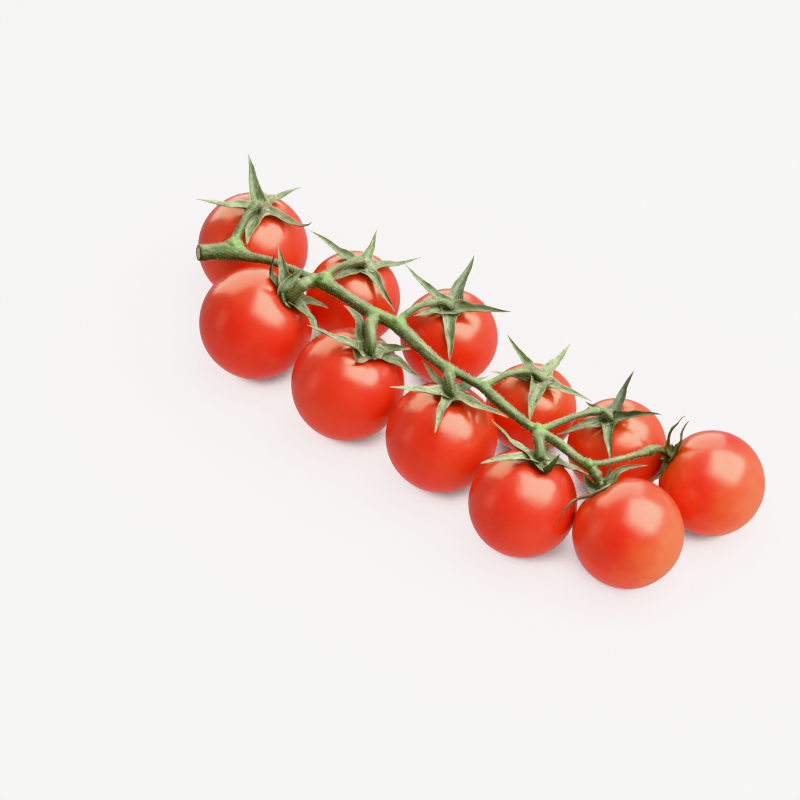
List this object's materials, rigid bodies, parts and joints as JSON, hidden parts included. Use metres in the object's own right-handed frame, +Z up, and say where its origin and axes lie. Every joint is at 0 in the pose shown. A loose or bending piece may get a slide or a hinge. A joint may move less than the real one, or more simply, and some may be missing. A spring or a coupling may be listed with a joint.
{
  "type": "truss of tomatoes",
  "caption": "Cut truss of small round vine tomatoes in two rows on a branching green stem, each with a star of sepals, lying on its fruits.",
  "frame": {"origin": "on the surface the fruits stand on, under the middle of the bounding box", "axes": "+X along the main stem from its cut end towards the last fruit, +Z up away from the surface, +Y towards the row of fruits on the longer pedicels"},
  "size_m": [0.1852, 0.0687, 0.0409],
  "materials": {
    "fruit_skin": "smooth waxy tomato skin, ripe red, soft gloss",
    "stem": "finely hairy grey-green stem, brighter at the knuckles",
    "sepals": "dull grey-green leaf with paler edges and dark specks"
  },
  "bodies": {
    "root": {"rachis": "stem", "calyx_01": "sepals", "calyx_02": "sepals", "calyx_03": "sepals", "calyx_04": "sepals", "calyx_05": "sepals", "calyx_06": "sepals", "calyx_07": "sepals", "calyx_08": "sepals", "calyx_09": "sepals", "calyx_10": "sepals", "calyx_11": "sepals", "tomato_01": "fruit_skin", "tomato_02": "fruit_skin", "tomato_03": "fruit_skin", "tomato_04": "fruit_skin", "tomato_05": "fruit_skin", "tomato_06": "fruit_skin", "tomato_07": "fruit_skin", "tomato_08": "fruit_skin", "tomato_09": "fruit_skin", "tomato_10": "fruit_skin", "tomato_11": "fruit_skin"}
  },
  "joints": []
}
